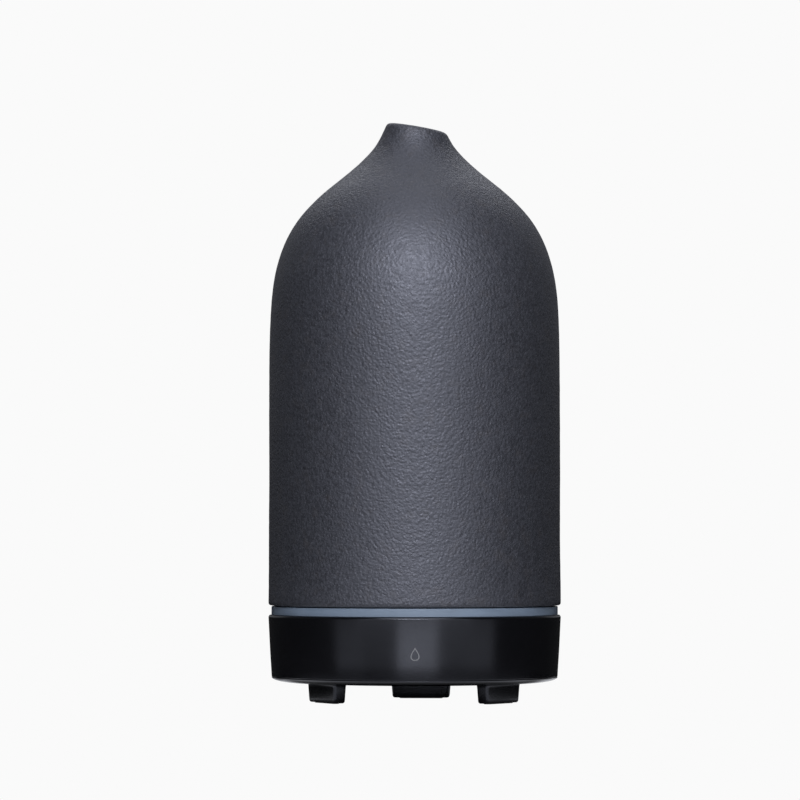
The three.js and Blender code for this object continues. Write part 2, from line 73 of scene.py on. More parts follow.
def spline(points, spacing):
    """A natural cubic through the points, by chord length, at an even spacing."""
    p = np.array(points, float)
    s = np.concatenate([[0], np.cumsum(np.linalg.norm(np.diff(p, axis=0), axis=1))])
    n = len(p)
    h = np.diff(s)
    a = np.zeros((n, n))
    b = np.zeros((n, 2))
    a[0, 0] = a[-1, -1] = 1
    for i in range(1, n - 1):
        a[i, i - 1], a[i, i], a[i, i + 1] = h[i - 1], 2 * (h[i - 1] + h[i]), h[i]
        b[i] = 6 * ((p[i + 1] - p[i]) / h[i] - (p[i] - p[i - 1]) / h[i - 1])
    m = np.linalg.solve(a, b)
    out = []
    for t in np.linspace(0, s[-1], max(2, int(round(s[-1] / spacing)) + 1)):
        i = min(n - 2, max(0, int(np.searchsorted(s, t, side="right")) - 1))
        u, v = s[i + 1] - t, t - s[i]
        q = (
            (m[i] * u**3 + m[i + 1] * v**3) / (6 * h[i])
            + (p[i] / h[i] - m[i] * h[i] / 6) * u
            + (p[i + 1] / h[i] - m[i + 1] * h[i] / 6) * v
        )
        out.append((float(q[0]), float(q[1])))
    return out


def rounded(corners, closed=True, turn=14.0):
    """A polygon of (x, y, radius) corners with its corners rounded to arcs."""
    out = []
    n = len(corners)
    for i, c in enumerate(corners):
        p, radius = np.array(c[:2], float), (c[2] if len(c) > 2 else 0.0)
        if radius <= 0 or (not closed and i in (0, n - 1)):
            out.append((float(p[0]), float(p[1])))
            continue
        u = np.array(corners[i - 1][:2], float) - p
        v = np.array(corners[(i + 1) % n][:2], float) - p
        lu, lv = np.linalg.norm(u), np.linalg.norm(v)
        u, v = u / lu, v / lv
        phi = math.acos(max(-1.0, min(1.0, float(u @ v))))
        if phi > math.pi - 0.02:
            out.append((float(p[0]), float(p[1])))
            continue
        t = min(radius / math.tan(phi / 2), 0.48 * lu, 0.48 * lv)
        radius = t * math.tan(phi / 2)
        w = (u + v) / np.linalg.norm(u + v)
        centre = p + w * radius / math.sin(phi / 2)
        a, b = p + u * t - centre, p + v * t - centre
        sweep = math.pi - phi
        k = max(2, int(math.ceil(math.degrees(sweep) / turn)))
        sign = 1.0 if a[0] * b[1] - a[1] * b[0] > 0 else -1.0
        for j in range(k + 1):
            g = sign * sweep * j / k
            q = centre + np.array(
                [a[0] * math.cos(g) - a[1] * math.sin(g), a[0] * math.sin(g) + a[1] * math.cos(g)]
            )
            out.append((float(q[0]), float(q[1])))
    return out


def lathe(profile, segs):
    """A closed profile of (r, z) turned about Z. It may start and end on the axis."""
    verts, rings = [], []
    angles = [2 * math.pi * i / segs for i in range(segs)]
    for r, z in profile:
        if r < 1e-6:
            rings.append([len(verts)] * segs)
            verts.append((0.0, 0.0, z))
        else:
            base = len(verts)
            verts.extend((r * math.cos(a), r * math.sin(a), z) for a in angles)
            rings.append(list(range(base, base + segs)))
    faces = []
    for j in range(len(profile)):
        a, b = rings[j], rings[(j + 1) % len(profile)]
        for i in range(segs):
            k = (i + 1) % segs
            f = []
            for q in (a[i], a[k], b[k], b[i]):
                if q not in f:
                    f.append(q)
            if len(f) > 2:
                faces.append(f)
    return verts, faces


def loft(rings):
    """Closed rings of equal length joined in turn, with flat ends."""
    verts, faces = [], []
    n = len(rings[0])
    for ring in rings:
        verts.extend(tuple(p) for p in ring)
    for j in range(len(rings) - 1):
        for i in range(n):
            k = (i + 1) % n
            faces.append([j * n + i, j * n + k, (j + 1) * n + k, (j + 1) * n + i])
    faces.append(list(range(n))[::-1])
    faces.append([(len(rings) - 1) * n + i for i in range(n)])
    return verts, faces


def rounded_rect(long, deep, r, steps=6):
    pts = []
    for cx, cy, a0 in (
        (long / 2 - r, -deep / 2 + r, -90),
        (long / 2 - r, deep / 2 - r, 0),
        (-long / 2 + r, deep / 2 - r, 90),
        (-long / 2 + r, -deep / 2 + r, 180),
    ):
        for i in range(steps + 1):
            a = math.radians(a0 + 90.0 * i / steps)
            pts.append((cx + r * math.cos(a), cy + r * math.sin(a)))
    return pts


def prism(outline, levels):
    """An outline lofted through (z, inset) levels: inset in mm."""
    rings = []
    c = np.array(outline, float)
    span = c.max(0) - c.min(0)
    for z, inset in levels:
        s = 1 - 2 * inset / span
        rings.append([(x * s[0], y * s[1], z) for x, y in outline])
    return loft(rings)


def moved(data, x=0.0, y=0.0, z=0.0, turn=0.0, tip=0.0):
    """Tipped about Y, shifted in z, turned about Z, then shifted in x and y."""
    m = Matrix.Rotation(math.radians(tip), 4, "Y")
    m = Matrix.Translation((0, 0, z)) @ m
    m = Matrix.Rotation(math.radians(turn), 4, "Z") @ m
    m = Matrix.Translation((x, y, 0)) @ m
    return [tuple(m @ Vector(v)) for v in data[0]], data[1]


def merged(*parts):
    verts, faces = [], []
    for v, f in parts:
        base = len(verts)
        verts.extend(v)
        faces.extend([i + base for i in q] for q in f)
    return verts, faces


def polar(azimuth, r):
    return r * math.cos(math.radians(azimuth)), r * math.sin(math.radians(azimuth))


def build(name, data, smooth=32.0):
    me = bpy.data.meshes.new(name)
    me.from_pydata([(x * MM, y * MM, z * MM) for x, y, z in data[0]], [], data[1])
    bm = bmesh.new()
    bm.from_mesh(me)
    bmesh.ops.remove_doubles(bm, verts=bm.verts, dist=1e-8)
    bmesh.ops.recalc_face_normals(bm, faces=bm.faces)
    bm.to_mesh(me)
    bm.free()
    o = bpy.data.objects.new(name, me)
    scene.collection.objects.link(o)
    shade(o, smooth)
    return o


def shade(o, angle):
    o.data.polygons.foreach_set("use_smooth", [True] * len(o.data.polygons))
    o.data.set_sharp_from_angle(angle=math.radians(angle))


def combine(o, data, operation, smooth=32.0):
    """Joins or cuts o with a second shape, and keeps the result as its mesh."""
    tool = build("tool", data)
    m = o.modifiers.new("combine", "BOOLEAN")
    m.operation, m.solver, m.object = operation, "EXACT", tool
    dg = bpy.context.evaluated_depsgraph_get()
    made = bpy.data.meshes.new_from_object(o.evaluated_get(dg))
    old = o.data
    o.modifiers.clear()
    o.data = made
    made.name = o.name
    bpy.data.meshes.remove(old)
    bpy.data.objects.remove(tool)
    bm = bmesh.new()
    bm.from_mesh(made)
    bmesh.ops.remove_doubles(bm, verts=bm.verts, dist=2e-7)
    bmesh.ops.dissolve_degenerate(bm, edges=bm.edges, dist=1e-7)
    bm.to_mesh(made)
    bm.free()
    shade(o, smooth)
    return o


# ---------------------------------------------------------------- materials
class Nodes:
    """A small builder round one material's node tree."""

    def __init__(self, name, color, roughness, metallic=0.0, level=0.5, tint=(1.0, 1.0, 1.0)):
        self.mat = bpy.data.materials.new(name)
        self.mat.use_nodes = True
        self.tree = self.mat.node_tree
        self.bsdf = self.tree.nodes["Principled BSDF"]
        self.bsdf.inputs["Base Color"].default_value = (*color, 1)
        self.bsdf.inputs["Roughness"].default_value = roughness
        self.bsdf.inputs["Metallic"].default_value = metallic
        self.bsdf.inputs["Specular IOR Level"].default_value = level
        self.bsdf.inputs["Specular Tint"].default_value = (*tint, 1)
        self.mat.diffuse_color = (*color, 1)
        self.coord = self.tree.nodes.new("ShaderNodeTexCoord").outputs["Object"]

    def link(self, a, b):
        self.tree.links.new(a, b)

    def scaled(self, sx, sy, sz):
        n = self.tree.nodes.new("ShaderNodeMapping")
        n.inputs["Scale"].default_value = (sx, sy, sz)
        self.link(self.coord, n.inputs["Vector"])
        return n.outputs["Vector"]

    def noise(self, scale, detail=2.0, rough=0.55, distortion=0.0, vector=None):
        n = self.tree.nodes.new("ShaderNodeTexNoise")
        n.inputs["Scale"].default_value = scale
        n.inputs["Detail"].default_value = detail
        n.inputs["Roughness"].default_value = rough
        n.inputs["Distortion"].default_value = distortion
        self.link(vector or self.coord, n.inputs["Vector"])
        return n.outputs["Fac"]

    def cells(self, scale, feature="F1", vector=None):
        n = self.tree.nodes.new("ShaderNodeTexVoronoi")
        n.feature = feature
        n.inputs["Scale"].default_value = scale
        self.link(vector or self.coord, n.inputs["Vector"])
        return n.outputs["Distance"]

    def flakes(self, scale):
        """One random value for each small cell."""
        n = self.tree.nodes.new("ShaderNodeTexVoronoi")
        n.inputs["Scale"].default_value = scale
        self.link(self.coord, n.inputs["Vector"])
        split = self.tree.nodes.new("ShaderNodeSeparateColor")
        self.link(n.outputs["Color"], split.inputs[0])
        return split.outputs[0]

    def math(self, op, a, b=0.0, clamp=False):
        n = self.tree.nodes.new("ShaderNodeMath")
        n.operation, n.use_clamp = op, clamp
        for i, x in enumerate((a, b)):
            if isinstance(x, (int, float)):
                n.inputs[i].default_value = x
            else:
                self.link(x, n.inputs[i])
        return n.outputs[0]

    def remap(self, value, lo, hi, to_lo, to_hi):
        n = self.tree.nodes.new("ShaderNodeMapRange")
        for key, x in zip(("From Min", "From Max", "To Min", "To Max"), (lo, hi, to_lo, to_hi)):
            n.inputs[key].default_value = x
        self.link(value, n.inputs["Value"])
        return n.outputs["Result"]

    def mix(self, fac, a, b, blend="MIX"):
        n = self.tree.nodes.new("ShaderNodeMix")
        n.data_type, n.blend_type = "RGBA", blend
        n.inputs[0].default_value = 1.0
        if isinstance(fac, (int, float)):
            n.inputs[0].default_value = fac
        else:
            self.link(fac, n.inputs[0])
        for socket, x in ((n.inputs[6], a), (n.inputs[7], b)):
            if isinstance(x, tuple):
                socket.default_value = (*x, 1)
            else:
                self.link(x, socket)
        return n.outputs[2]

    def edges(self, lo=0.52, hi=0.6):
        n = self.tree.nodes.new("ShaderNodeNewGeometry")
        return self.remap(n.outputs["Pointiness"], lo, hi, 0.0, 1.0)

    def add(self, *terms):
        total = None
        for value, weight in terms:
            x = self.math("MULTIPLY", value, weight)
            total = x if total is None else self.math("ADD", total, x)
        return total

    def bump(self, height, distance, strength=1.0, after=None):
        n = self.tree.nodes.new("ShaderNodeBump")
        n.inputs["Strength"].default_value = strength
        n.inputs["Distance"].default_value = distance
        self.link(height, n.inputs["Height"])
        if after is not None:
            self.link(after, n.inputs["Normal"])
        return n.outputs["Normal"]

    def color(self, x):
        self.link(x, self.bsdf.inputs["Base Color"])

    def rough(self, x):
        self.link(x, self.bsdf.inputs["Roughness"])

    def normal(self, x):
        self.link(x, self.bsdf.inputs["Normal"])


def shades(color, down, up):
    return tuple(c * down for c in color), tuple(min(1.0, c * up) for c in color)


def stone_material():
    base = (0.0258, 0.0266, 0.0320)
    n = Nodes("stone_grain", base, 0.51, level=1.0, tint=(0.84, 0.86, 1.0))
    broad = n.noise(38, 3, 0.5)
    patch = n.noise(170, 3, 0.6, 0.4)
    grain = n.noise(1080, 3, 0.6, 0.25)
    sand = n.noise(1900, 2, 0.6)
    pits = n.cells(1250, "SMOOTH_F1")
    flake = n.flakes(1150)
    height = n.add((grain, 0.50), (sand, 0.26), (pits, -0.52), (patch, 0.26))
    n.normal(n.bump(height, 0.00029))
    dark, light = shades(base, 0.62, 1.40)
    tone = n.add((broad, 0.10), (patch, 0.14), (grain, 0.36), (pits, -0.26), (sand, 0.14), (flake, 0.16))
    ground = n.mix(n.remap(tone, 0.03, 0.43, 0.0, 1.0), dark, light)
    warm = n.noise(260, 2, 0.5)
    tinted = n.mix(n.remap(warm, 0.55, 0.75, 0.0, 0.35), ground, (0.043, 0.038, 0.037))
    speck = n.remap(n.noise(2100, 2, 0.5), 0.64, 0.74, 0.0, 0.55)
    n.color(n.mix(speck, tinted, (0.11, 0.114, 0.128)))
    n.rough(n.remap(n.add((flake, 0.5), (sand, 0.25), (patch, 0.25)), 0.15, 0.85, 0.41, 0.61))
    return n.mat


def moulded(name, base, lo, hi, fine=2200, bump=0.000035, level=0.5, edge_highlight=None, mottle=0.12, tint=(1.0, 1.0, 1.0)):
    """Moulded plastic: spark-eroded skin, slight gloss and tone variation."""
    n = Nodes(name, base, (lo + hi) / 2, level=level, tint=tint)
    cloud = n.noise(55, 4, 0.6)
    skin = n.noise(fine, 2, 0.6)
    dark, light = shades(base, 1 - mottle, 1 + mottle)
    ground = n.mix(n.remap(n.add((cloud, 0.6), (skin, 0.4)), 0.36, 0.64, 0.0, 1.0), dark, light)
    # lighter along convex edges, by pointiness: a painted highlight on the edges
    if edge_highlight:
        ground = n.mix(n.math("MULTIPLY", n.edges(), n.remap(cloud, 0.4, 0.6, 0.15, 0.6)), ground, edge_highlight)
    n.color(ground)
    smear = n.noise(1.0, 3, 0.6, vector=n.scaled(60, 60, 420))
    n.rough(n.remap(n.add((cloud, 0.5), (smear, 0.2), (skin, 0.3)), 0.36, 0.64, lo, hi))
    n.normal(n.bump(skin, bump))
    return n.mat


def ring_material():
    base = (0.168, 0.213, 0.278)
    n = Nodes("frosted_ring", base, 0.36, level=0.4)
    cloud = n.noise(60, 3, 0.6)
    frost = n.noise(2400, 3, 0.6)
    flow = n.noise(1.0, 3, 0.6, vector=n.scaled(90, 90, 900))
    dark, light = shades(base, 0.90, 1.12)
    n.color(n.mix(n.remap(n.add((cloud, 0.5), (flow, 0.5)), 0.38, 0.62, 0.0, 1.0), dark, light))
    n.rough(n.remap(n.add((frost, 0.5), (flow, 0.5)), 0.35, 0.65, 0.30, 0.44))
    n.normal(n.bump(frost, 0.00003))
    n.bsdf.inputs["Subsurface Weight"].default_value = 0.12
    n.bsdf.inputs["Subsurface Radius"].default_value = (0.9, 1.0, 1.2)
    n.bsdf.inputs["Subsurface Scale"].default_value = 0.0012
    return n.mat


def metal(name, base, lo, hi, brushed=(500, 500, 60), bump=0.00002, tarnish=0.85):
    n = Nodes(name, base, (lo + hi) / 2, metallic=1.0)
    cloud = n.noise(120, 4, 0.65)
    lines = n.noise(3.0, 3, 0.6, vector=n.scaled(*brushed))
    dark, light = shades(base, tarnish, 1.06)
    n.color(n.mix(n.remap(n.add((cloud, 0.6), (lines, 0.4)), 0.38, 0.62, 0.0, 1.0), dark, light))
    n.rough(n.remap(n.add((lines, 0.5), (cloud, 0.5)), 0.36, 0.64, lo, hi))
    n.normal(n.bump(lines, bump))
    return n.mat


def board_material(name, base, trace, lo=0.32, hi=0.5):
    """Solder mask over copper: right-angled tracks raised under the lacquer."""
    n = Nodes(name, base, 0.4)
    grid = n.tree.nodes.new("ShaderNodeTexBrick")
    grid.inputs["Scale"].default_value = 1.0
    grid.inputs["Mortar Size"].default_value = 0.08
    grid.inputs["Mortar Smooth"].default_value = 0.2
    grid.inputs["Brick Width"].default_value = 1.6
    grid.inputs["Row Height"].default_value = 0.7
    n.link(n.scaled(240, 240, 240), grid.inputs["Vector"])
    parts = n.noise(95, 1, 0.4)
    on = n.math("MULTIPLY", grid.outputs["Fac"], n.remap(parts, 0.48, 0.52, 0.0, 1.0))
    weave = n.noise(900, 2, 0.6)
    dark, light = shades(base, 0.85, 1.12)
    n.color(n.mix(on, n.mix(n.remap(weave, 0.4, 0.6, 0.0, 1.0), dark, light), trace))
    n.rough(n.remap(weave, 0.38, 0.62, lo, hi))
    n.normal(n.bump(n.add((on, 1.0), (weave, 0.2)), 0.00005))
    return n.mat


def winding_material():
    base = (0.19, 0.075, 0.028)
    n = Nodes("wound_wire", base, 0.35, metallic=0.4)
    n_wave = n.tree.nodes.new("ShaderNodeTexWave")
    n_wave.bands_direction = "Z"
    n_wave.inputs["Scale"].default_value = 520
    n_wave.inputs["Distortion"].default_value = 0.6
    n.link(n.coord, n_wave.inputs["Vector"])
    dark, light = shades(base, 0.45, 1.2)
    cloud = n.noise(300, 3, 0.6)
    n.color(n.mix(n_wave.outputs["Fac"], dark, light))
    n.rough(n.remap(cloud, 0.38, 0.62, 0.28, 0.5))
    n.normal(n.bump(n_wave.outputs["Fac"], 0.00015))
    return n.mat


def rubber(name, base, lo, hi, fine=1500, bump=0.00008):
    n = Nodes(name, base, (lo + hi) / 2, level=0.35)
    dust = n.noise(180, 5, 0.7)
    skin = n.noise(fine, 3, 0.65)
    dark, light = shades(base, 0.8, 1.5)
    n.color(n.mix(n.remap(n.add((dust, 0.6), (skin, 0.4)), 0.38, 0.66, 0.0, 1.0), dark, light))
    n.rough(n.remap(dust, 0.38, 0.62, lo, hi))
    n.normal(n.bump(skin, bump))
    return n.mat


MATS = {
    "stone": stone_material(),
    "ring": ring_material(),
    # the satin black gets a painted highlight along its convex edges
    "black_plastic": moulded(
        "satin_black", (0.0035, 0.0035, 0.0042), 0.17, 0.25, bump=0.000012, edge_highlight=(0.012, 0.012, 0.014),
        tint=(0.84, 0.87, 1.0),
    ),
    "pad_rubber": rubber("pad_rubber", (0.009, 0.009, 0.010), 0.72, 0.9),
    "tank_plastic": moulded("tank_grey", (0.60, 0.61, 0.63), 0.30, 0.44, bump=0.00003, mottle=0.05),
    "lid_plastic": moulded("lid_white", (0.70, 0.71, 0.72), 0.34, 0.48, bump=0.00003, mottle=0.05),
    "silicone": rubber("grey_silicone", (0.42, 0.43, 0.45), 0.45, 0.62, bump=0.00004),
    "disc_ceramic": metal("disc_silvering", (0.72, 0.62, 0.40), 0.25, 0.4, brushed=(700, 700, 700)),
    "steel": metal("plated_steel", (0.60, 0.61, 0.62), 0.25, 0.42, brushed=(900, 900, 200)),
    "contact": metal("nickel_pin", (0.72, 0.70, 0.66), 0.2, 0.34, brushed=(300, 60, 300)),
    "fan_plastic": moulded("fan_black", (0.014, 0.014, 0.016), 0.36, 0.5, fine=1400, bump=0.00004),
    "board": board_material("green_board", (0.010, 0.085, 0.036), (0.030, 0.17, 0.070)),
    "white_board": board_material("white_board", (0.66, 0.66, 0.64), (0.80, 0.80, 0.77)),
    "part_plastic": moulded("part_black", (0.013, 0.013, 0.014), 0.34, 0.48, fine=1600, bump=0.00004),
    "winding": winding_material(),
    "can": moulded("can_sleeve", (0.018, 0.032, 0.115), 0.2, 0.32, bump=0.00001, mottle=0.2),
    "aluminium": metal("drawn_aluminium", (0.62, 0.63, 0.64), 0.28, 0.42, brushed=(500, 500, 20)),
    "socket": moulded("natural_nylon", (0.66, 0.63, 0.54), 0.34, 0.5, mottle=0.07),
    "lead": rubber("lead_sleeve", (0.012, 0.012, 0.014), 0.4, 0.58, fine=1200, bump=0.00004),
    "led": moulded("led_phosphor", (0.80, 0.66, 0.26), 0.18, 0.34, fine=1400, mottle=0.18),
}
MARK = moulded("print_grey", (0.135, 0.135, 0.142), 0.42, 0.55, mottle=0.15)

slot_of = {s["node"]: s["material_slot"] for s in frame["record"]["subparts"]}
for node, o in frame["nodes"].items():
    o.data.materials.clear()
    o.data.materials.append(MATS[slot_of[node]])


def dress(o, slot, body, *nodes):
    o.data.materials.clear()
    o.data.materials.append(MATS[slot])
    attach(o, body)
    if nodes:
        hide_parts(*nodes)
    return o


# --------------------------------------------------------------- stone cover
TOP, SLOPE, BORE = 177.0, 0.174, 6.0
OUTSIDE = [
    (45.0, 31.2), (44.92, 41.0), (44.85, 52.0), (44.8, 70.0), (44.8, 88.0), (44.78, 102.0),
    (44.6, 114.1), (44.2, 122.1), (43.25, 130.15), (41.84, 136.0), (39.61, 141.9),
    (36.07, 148.0), (30.98, 153.9), (27.58, 157.05), (23.87, 160.05), (18.94, 164.06),
    (14.66, 168.07), (12.08, 171.15), (10.3, 174.2), (9.4, 176.1), (8.6, 178.0), (7.9, 180.0), (7.2, 182.0),
]
INSIDE = [
    (6.0, 174.5), (6.25, 171.5), (7.4, 168.6), (13.6, 162.2), (20.5, 157.2), (27.4, 151.5),
    (32.6, 146.0), (36.3, 139.5), (38.8, 132.0), (40.2, 124.0), (40.9, 110.0), (40.9, 100.0),
]


def stone_cover():
    segs = 288
    outer = spline(OUTSIDE, 0.25)
    zs = np.array([p[1] for p in outer])
    rs = np.array([p[0] for p in outer])
    length = np.concatenate([[0], np.cumsum(np.hypot(np.diff(rs), np.diff(zs)))])

    def at_z(z):
        return float(np.interp(z, zs, rs))

    shared_top = 167.0
    s_top = float(np.interp(shared_top, zs, length))
    rows = []
    # rounded lower edge, from the bore's foot outwards
    rows += [(40.9, 30.3), (41.0, 29.95), (41.25, 29.74), (41.7, 29.7), (43.0, 29.7), (44.2, 29.7)]
    for a in (20, 40, 60, 78):
        rows.append((44.2 + 0.78 * math.sin(math.radians(a)), 30.5 - 0.8 * math.cos(math.radians(a))))
    fixed = len(rows)
    count = int(s_top / 0.86)
    for i in range(count + 1):
        s = s_top * i / count
        rows.append((float(np.interp(s, length, rs)), float(np.interp(s, length, zs))))
    neck, lip_o, flat, lip_i, throat = 12, 7, 4, 6, 6
    verts = []
    table = []
    for k in range(segs):
        a = 2 * math.pi * k / segs
        ca = math.cos(a)
        # where the slanted mouth meets the outer wall
        z = TOP
        for _ in range(6):
            z = TOP - SLOPE * at_z(z) * ca
        ra, za = at_z(z), z
        rb, zb = BORE, TOP - SLOPE * BORE * ca
        z_start = za - 1.3
        col = list(rows)
        for i in range(1, neck + 1):
            zz = shared_top + (z_start - shared_top) * i / neck
            col.append((at_z(zz), zz))
        p0 = np.array([at_z(z_start), z_start])
        p1 = np.array([ra, za])
        d = np.array([rb - ra, zb - za])
        d /= np.linalg.norm(d)
        p2 = p1 + d * 1.15
        for i in range(1, lip_o + 1):
            t = i / lip_o
            col.append(tuple((1 - t) ** 2 * p0 + 2 * t * (1 - t) * p1 + t * t * p2))
        q1 = np.array([rb, zb])
        q0 = q1 - d * 0.8
        for i in range(1, flat):
            col.append(tuple(p2 + (q0 - p2) * i / flat))
        q2 = q1 + np.array([0.0, -1.0])
        for i in range(lip_i + 1):
            t = i / lip_i
            col.append(tuple((1 - t) ** 2 * q0 + 2 * t * (1 - t) * q1 + t * t * q2))
        z_end = 171.5
        for i in range(1, throat):
            col.append((BORE, q2[1] + (z_end + 3.0 - q2[1]) * i / throat))
        table.append(col)
    inner = spline(INSIDE, 2.2)
    inner_rows = [(40.9, z) for z in (88.0, 74.0, 60.0, 46.0, 36.0)]
    n_rows = None
    for k in range(segs):
        a = 2 * math.pi * k / segs
        col = table[k] + inner + inner_rows
        n_rows = len(col)
        verts.extend((r * math.cos(a), r * math.sin(a), z) for r, z in col)
    faces = []
    for k in range(segs):
        m = (k + 1) % segs
        for j in range(n_rows):
            i = (j + 1) % n_rows
            faces.append([k * n_rows + j, m * n_rows + j, m * n_rows + i, k * n_rows + i])
    # the fired skin is not quite even: shallow swells and a soft grain
    moving = fixed + count + neck + lip_o
    out = []
    for n_i, v in enumerate(verts):
        j = n_i % n_rows
        if fixed - 3 <= j <= moving + flat:
            p = Vector(v)
            swell = noise.noise(p * 0.055 + Vector((3.1, 7.7, 1.9)))
            soft = noise.noise(p * 0.33 + Vector((11.0, 2.0, 5.0)))
            grit = noise.noise(p * 0.72 + Vector((1.0, 21.0, 9.0)))
            push = 0.10 * swell + 0.035 * soft + 0.030 * grit
            r = math.hypot(v[0], v[1])
            push = min(push, 0.02 if j < fixed + 6 else 0.2)
            p += Vector((v[0] / r, v[1] / r, 0.0)) * push
            v = tuple(p)
        out.append(v)
    return build("stone_shell", (out, faces), smooth=50)


dress(stone_cover(), "stone", "cover", "stone_cover")

# ---------------------------------------------------------------- light ring
ring = build(
    "glow_ring",
    lathe(
        rounded(
            [
                (44.07, 26.86, 0.12), (44.07, 29.4, 0.22), (40.4, 29.4, 0.25), (40.4, 33.0, 0.5),
                (38.2, 33.0, 0.3), (38.2, 26.86, 0.12),
            ]
        ),
        256,
    ),
)
dress(ring, "ring", "base", "light_ring")

# ---------------------------------------------------------------- base shell
AXIS_Z = 17.0
BUTTONS = {"mist": 63, "light": 117}
wall = build(
    "base_wall",
    lathe(
        rounded(
            [
                (43.99, 7.79, 0.22), (44.5, 16.0, 8.0), (45.0, 26.2, 0.4), (44.72, 26.7, 0.22),
                (44.1, 26.79, 0.1), (41.6, 26.79, 0.12), (41.6, 25.6), (42.4, 24.8), (42.4, 23.1, 0.2),
                (39.0, 23.1, 0.2), (39.0, 21.9, 0.2), (42.3, 21.9, 0.2), (42.0, 7.79, 0.15),
            ]
        ),
        256,
    ),
)


def bore(r, flare):
    """A cutter for a hole in the wall, with a small chamfer outside."""
    surface = 44.52
    return lathe(
        [(0, 38.0), (r, 38.0), (r, surface - flare), (r + flare * 3, surface + flare * 2), (0, surface + flare * 2)], 64
    )


combine(
    wall,
    merged(
        moved(bore(4.7, 0.3), z=AXIS_Z, turn=90, tip=90),
        moved(bore(3.8, 0.25), z=AXIS_Z, turn=BUTTONS["mist"], tip=90),
        moved(bore(3.8, 0.25), z=AXIS_Z, turn=BUTTONS["light"], tip=90),
    ),
    "DIFFERENCE",
)
dress(wall, "black_plastic", "base", "base_shell")

# -------------------------------------------------------------- bottom cover
FEET = {"back": 86, "left": 206, "right": 326}
FOOT_R = 30.7
FOOT_AT = {side: polar(a, FOOT_R) for side, a in FEET.items()}
FOOT_AT["left"] = (FOOT_AT["left"][0] + 0.8, FOOT_AT["left"][1])
BOSSES = [50, 130, 240, 300]
BOSS_R = 34.2
FAN_Y = -21.0

under = [(36.0 + 8.0 * math.sin(math.radians(a)), 7.7 - 1.7 * math.cos(math.radians(a))) for a in range(0, 85, 7)]
dish = build(
    "base_dish",
    lathe(
        [(0.0, 6.0), (20.0, 6.0)]
        + under
        + rounded([(43.99, 7.55, 0.0), (44.0, 7.7, 0.1), (41.6, 7.7, 0.1), (41.6, 9.5, 0.3), (40.3, 9.5, 0.3),
                   (40.3, 8.0, 0.2), (0.0, 8.0, 0.0)], closed=False),
        256,
    ),
)


def foot(side):
    length = 19.4 if side == "left" else 18.6
    outline = rounded_rect(length, 4.3, 0.95, 7)
    levels = [
        (0.22, 1.05), (0.28, 0.80), (0.42, 0.60), (0.65, 0.45), (1.0, 0.36), (1.6, 0.31),
        (2.8, 0.22), (4.0, 0.13), (5.0, 0.06), (5.45, 0.0), (5.7, -0.06), (5.86, -0.25), (5.98, -0.55), (6.4, -0.55),
    ]
    rings = []
    for z, inset in levels:
        sx = 1 - 2 * inset / length
        sy = 1 - 2 * inset * (0.6 if inset > 0 else 1.0) / 4.3
        rings.append([(x * sx, y * sy, z) for x, y in outline])
    x, y = FOOT_AT[side]
    return moved(loft(rings), x=x, y=y, turn=FEET[side] + 90)


def post(x, y, r, z0, z1, segs=28):
    return moved(lathe(rounded([(0, z0), (r, z0), (r, z1, 0.25), (0, z1)], closed=False), segs), x=x, y=y)


FAN_HOLES = [(-10, -10), (10, -10), (10, 10), (-10, 10)]
BOARD_POSTS = [(-33, 3), (33, 3), (0, 21)]
combine(
    dish,
    merged(
        *[foot(side) for side in FEET],
        *[post(*polar(a, BOSS_R), 3.8, 7.0, 10.0) for a in BOSSES],
        *[post(i, FAN_Y + j, 2.1, 7.0, 9.5, 20) for i, j in FAN_HOLES],
        *[post(x, y, 2.5, 7.0, 10.3, 24) for x, y in BOARD_POSTS],
    ),
    "UNION",
)
holes = []
for a in BOSSES:
    x, y = polar(a, BOSS_R)
    holes.append(
        moved(
            lathe([(0, 5.0), (3.55, 5.0), (3.45, 5.95), (3.1, 6.35), (3.1, 8.2), (1.6, 8.2), (1.6, 11.0), (0, 11.0)], 40),
            x=x, y=y,
        )
    )
for i, j in (FAN_HOLES[0], FAN_HOLES[2]):
    holes.append(moved(lathe([(0, 7.4), (1.2, 7.4), (1.2, 10.5), (0, 10.5)], 20), x=i, y=FAN_Y + j))
for x, y in BOARD_POSTS:
    holes.append(moved(lathe([(0, 7.4), (1.2, 7.4), (1.2, 11.0), (0, 11.0)], 20), x=x, y=y))
for i in range(-3, 4):
    half = math.sqrt(10.8**2 - (i * 2.9) ** 2)
    outline = [(y, x) for x, y in rounded_rect(1.5, 2 * half, 0.745, 6)]
    levels = [(5.0, -0.2), (5.98, -0.18), (6.2, 0.0), (9.0, 0.0)]
    rings = [[(x * (1 - 2 * d / (2 * half)), y * (1 - 2 * d / 1.5), z) for x, y in outline] for z, d in levels]
    holes.append(moved(loft(rings), x=i * 2.9, y=FAN_Y, turn=90))
for side, a in FEET.items():
    x, y = FOOT_AT[side]
    holes.append(moved(prism(rounded_rect(14.2, 2.8, 0.7, 5), [(-1.0, 0), (1.3, 0)]), x=x, y=y, turn=a + 90))
combine(dish, merged(*holes), "DIFFERENCE")
dress(dish, "black_plastic", "base", "bottom_cover")

for side, a in FEET.items():
    x, y = FOOT_AT[side]
    pad = build(
        "pad_" + side,
        moved(
            prism(
                rounded_rect(13.6, 2.2, 0.5, 6),
                [(0.0, 0.22), (0.03, 0.1), (0.1, 0.03), (0.22, 0.0), (0.9, 0.0), (0.97, 0.03), (1.0, 0.1)],
            ),
            x=x, y=y, turn=a + 90,
        ),
    )
    dress(pad, "pad_rubber", "base", "foot_pad_" + side)


